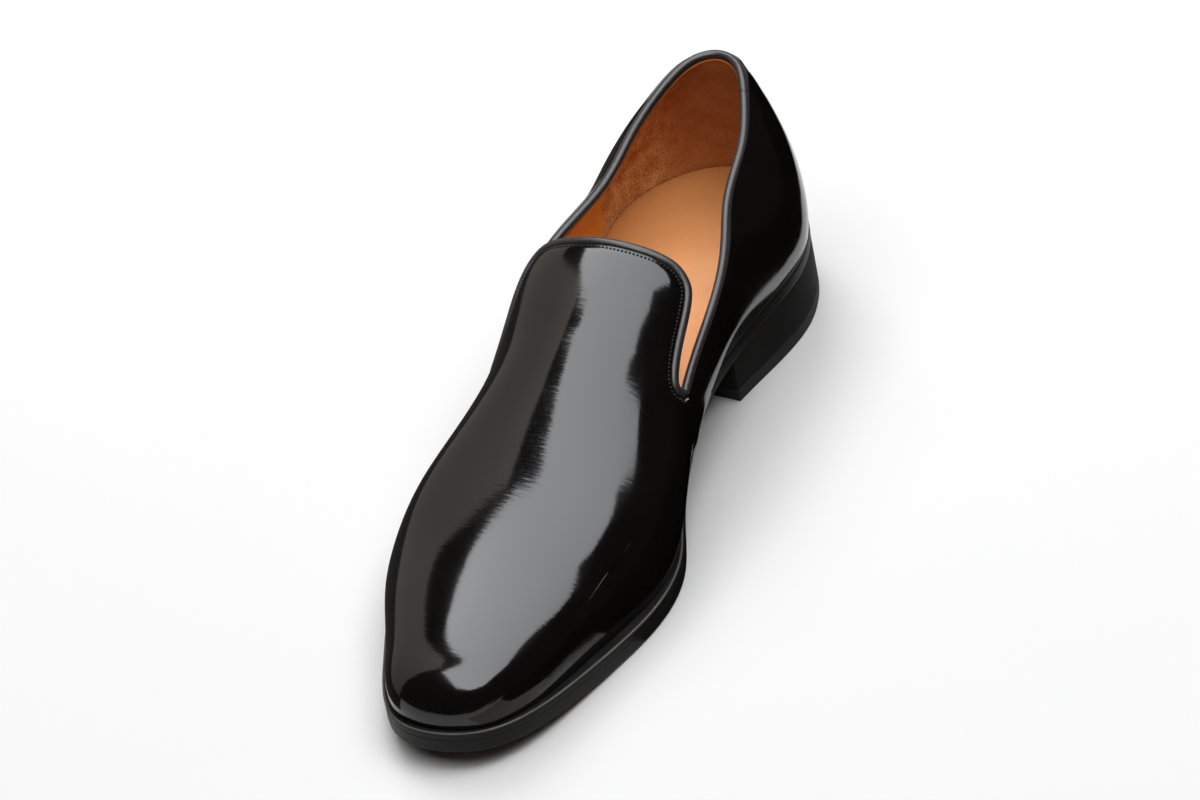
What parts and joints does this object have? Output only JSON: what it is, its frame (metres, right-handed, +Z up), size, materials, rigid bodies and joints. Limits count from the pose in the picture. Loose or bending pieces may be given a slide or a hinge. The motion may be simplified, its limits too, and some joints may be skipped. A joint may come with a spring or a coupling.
{
  "type": "venetian loafer",
  "caption": "Left slip-on dress shoe: plain patent leather upper with a square tab over the instep and side notches, rolled topline binding, welted leather sole and low stacked heel",
  "frame": {"origin": "On the floor, under the middle of the shoe's bounding box", "axes": "+Z up, toe towards -Y and heel towards +Y, outer (little toe) side towards +X"},
  "size_m": [0.0966, 0.3, 0.0849],
  "materials": {
    "patent_leather": "black patent leather, mirror gloss with a fine ripple",
    "binding_leather": "black nappa leather, satin, rolled over the edge",
    "welt_leather": "black inked leather, waxed satin",
    "sole_leather": "natural leather underside with a black inked edge",
    "sock_leather": "smooth tan lining leather",
    "lining_leather": "cognac lining leather, napped at the heel",
    "thread": "black waxed thread",
    "heel_leather": "black inked stacked leather, waxed satin",
    "lift_rubber": "black rubber, matt"
  },
  "bodies": {
    "root": {"upper": "patent_leather", "topline_binding": "binding_leather", "welt": "welt_leather", "outsole": "sole_leather", "insole": "sock_leather", "heel_stack": "heel_leather", "heel_top_lift": "lift_rubber"}
  },
  "joints": []
}
